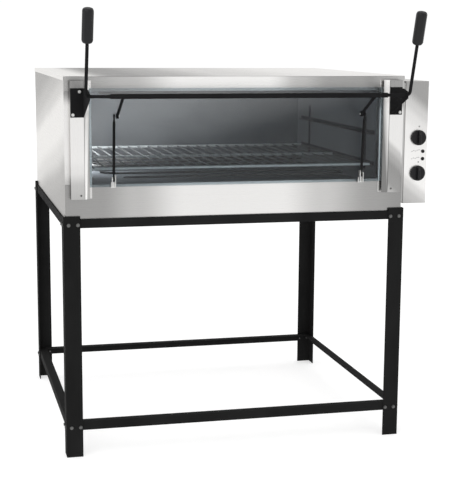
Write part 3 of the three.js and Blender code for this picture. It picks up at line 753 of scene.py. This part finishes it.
# Control box.
# A folded stainless enclosure on the right-hand side, with a separate fascia plate, and a strip that closes
# the gap between it and the casing.
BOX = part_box("control_fascia")
# The fascia's diagonal bands are painted reflection and shade, and the box shares the sides' painted bands.
FASCIA_TILT = 0.8
fascia_start = BOX[0].z + FASCIA_TILT * BOX[0].x
fascia_steel = brushed_steel_painted_light(
    "fascia_steel", (FASCIA_TILT, 0.0, 1.0), (fascia_start, fascia_start + 0.48), (
        (0.0, 0.42), (0.10, 0.50), (0.17, 0.64), (0.24, 0.84), (0.55, 0.80), (0.66, 0.72), (0.74, 0.60),
        (0.86, 0.34), (1.0, 0.34)), "Z", 0.02)
finish_node("control_box", side_steel, "control_steel", "body", 0.6 * MM)
finish_node("control_fascia", fascia_steel, "control_steel", "body", 0.4 * MM)
side_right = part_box("side_panel_right")[1].x
strip_size = (BOX[0].x - side_right - 0.6 * MM, 3 * MM, BOX[1].z - BOX[0].z - 10 * MM)
strip_place = ((side_right + BOX[0].x) / 2, BOX[0].y + 4 * MM, (BOX[0].z + BOX[1].z) / 2)
flange = slab("box_flange", strip_size, strip_place)
round_edges(flange, 0.3 * MM, 2)
# The strip's tone, lightest at mid height, is painted reflection.
flange_steel = brushed_steel_painted_light("flange_steel", ALONG_Z, (BOX[0].z, BOX[1].z), (
    (0.0, 0.36), (0.5, 0.46), (1.0, 0.36)), "Z")
fit(flange, flange_steel, "control_steel", "body")


# Knobs.
# Black plastic control knobs: a round skirt, a raised bar to hold, and a dark grey pointer line on the bar.
def ink(name, tone):
    material, tree, principled = shader(name, Roughness=0.6, Specular_IOR_Level=0.2)
    wear = grain(tree, (700, 700, 700), 3.0)
    tree.links.new(two_tone(tree, wear, (0.8 * tone,) * 3, (tone,) * 3), principled.inputs["Base Color"])
    return material


def face_front(piece, x, y, z):
    """Turns a part that was made upright towards the front, with its foot at a place."""
    piece.data.transform(Matrix.Translation((x, y, z)) @ Matrix.Rotation(math.pi / 2, 4, "X"))


knob_black = moulded_plastic("knob_black", (0.005, 0.005, 0.006), (0.008, 0.007, 0.008), (0.36, 0.5))
pointer_grey = ink("pointer_grey", 0.05)
KNOB_DEPTH = 21 * MM
SKIRT_DEPTH = 10 * MM
HANDLE_WIDTH = 11 * MM
for level in ("upper", "lower"):
    low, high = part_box(f"knob_{level}")
    middle = (low + high) / 2
    radius = (high.z - low.z) / 2
    back = low.y + KNOB_DEPTH
    skirt = barrel("skirt", radius, SKIRT_DEPTH, (0, 0, SKIRT_DEPTH / 2), 72)
    round_rims(skirt, 2.5 * MM, 5)
    handle = slab("handle", (HANDLE_WIDTH, 2 * radius - 8 * MM, 20 * MM), (0, 0, 11 * MM))
    round_rims(handle, 3 * MM, 4)
    spindle = barrel("spindle", 3 * MM, 25 * MM, (0, 0, -12 * MM), 24)
    knob = unite(skirt, [handle, spindle])
    bpy.ops.object.shade_smooth_by_angle(angle=math.radians(40))
    face_front(knob, middle.x, back, middle.z)
    knob.name = f"control_knob_{level}"
    fit(knob, knob_black, "knob_plastic", f"knob_{level}", f"knob_{level}")
    pointer = slab("pointer", (1.6 * MM, 9 * MM, 0.5 * MM), (0, radius - 12 * MM, 20.9 * MM))
    round_edges(pointer, 0.15 * MM, 2)
    face_front(pointer, middle.x, back, middle.z)
    pointer.name = f"knob_pointer_{level}"
    fit(pointer, pointer_grey, "knob_plastic", f"knob_{level}")


# Pilot lamps.
# Two small black bezels, each with a smoked lens over a lamp that is off.
bezel_black = moulded_plastic("bezel_black", (0.006, 0.006, 0.007), (0.009, 0.009, 0.010), (0.25, 0.4))
for level in ("upper", "lower"):
    low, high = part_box(f"pilot_lamp_{level}")
    middle = (low + high) / 2
    radius = (high.z - low.z) / 2
    rim = barrel("rim", radius, 2.4 * MM, (0, 0, 1.2 * MM), 48)
    round_rims(rim, 0.7 * MM, 3)
    lens = barrel("lens", 4.6 * MM, 4.4 * MM, (0, 0, 2.3 * MM), 48)
    round_rims(lens, 1.6 * MM, 5)
    stem = barrel("stem", 5 * MM, 18 * MM, (0, 0, -8.5 * MM), 32)
    lamp = unite(rim, [lens, stem])
    bpy.ops.object.shade_smooth_by_angle(angle=math.radians(40))
    face_front(lamp, middle.x, BOX[0].y, middle.z)
    lamp.name = f"lamp_{level}"
    fit(lamp, bezel_black, "knob_plastic", "body", f"pilot_lamp_{level}")


# Fascia marks.
# Grey printed marks: a ring of ticks round each knob, a square above it and a row of bars beside each lamp.
fascia_front = BOX[0].y
mark_grey = ink("mark_grey", 0.30)
MARK_DEPTH = 0.2 * MM
TICK_SWEEP = 290
TICK_RING = 30 * MM
marks = []
for level, ticks in (("upper", 11), ("lower", 5)):
    low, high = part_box(f"knob_{level}")
    middle = (low + high) / 2
    for number in range(ticks):
        angle = math.radians(TICK_SWEEP * (number / (ticks - 1) - 0.5))
        tick = slab("tick", (0.6 * MM, MARK_DEPTH, 2.2 * MM), (0, fascia_front, TICK_RING))
        tick.data.transform(Matrix.Translation((middle.x, 0, middle.z)) @ Matrix.Rotation(angle, 4, "Y"))
        marks.append(tick)
    square_place = (middle.x + 3 * MM, fascia_front, high.z + 12 * MM)
    marks.append(slab("square", (5 * MM, MARK_DEPTH, 5 * MM), square_place))
for level in ("upper", "lower"):
    low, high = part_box(f"pilot_lamp_{level}")
    middle = (low + high) / 2
    for number, rise in enumerate((5, 4, 1, 3, 0)):
        bar_place = (low.x - (8 + 6.5 * number) * MM, fascia_front, middle.z + rise * MM)
        marks.append(slab("bar", (4 * MM, MARK_DEPTH, 2.4 * MM), bar_place))
printed = gather("fascia_marks", marks)
fit(printed, mark_grey, "control_steel", "body")


# Thermostat, selector switch and cable gland.
# Bought-in fittings: two switch bodies behind the fascia, and a grey gland at the back of the box.
fitting_grey = moulded_plastic("fitting_grey", (0.08, 0.085, 0.09), (0.12, 0.125, 0.13), (0.45, 0.6))
for node in ("thermostat", "selector_switch", "cable_gland"):
    finish_node(node, fitting_grey, "fitting_plastic", "body", 0.5 * MM)
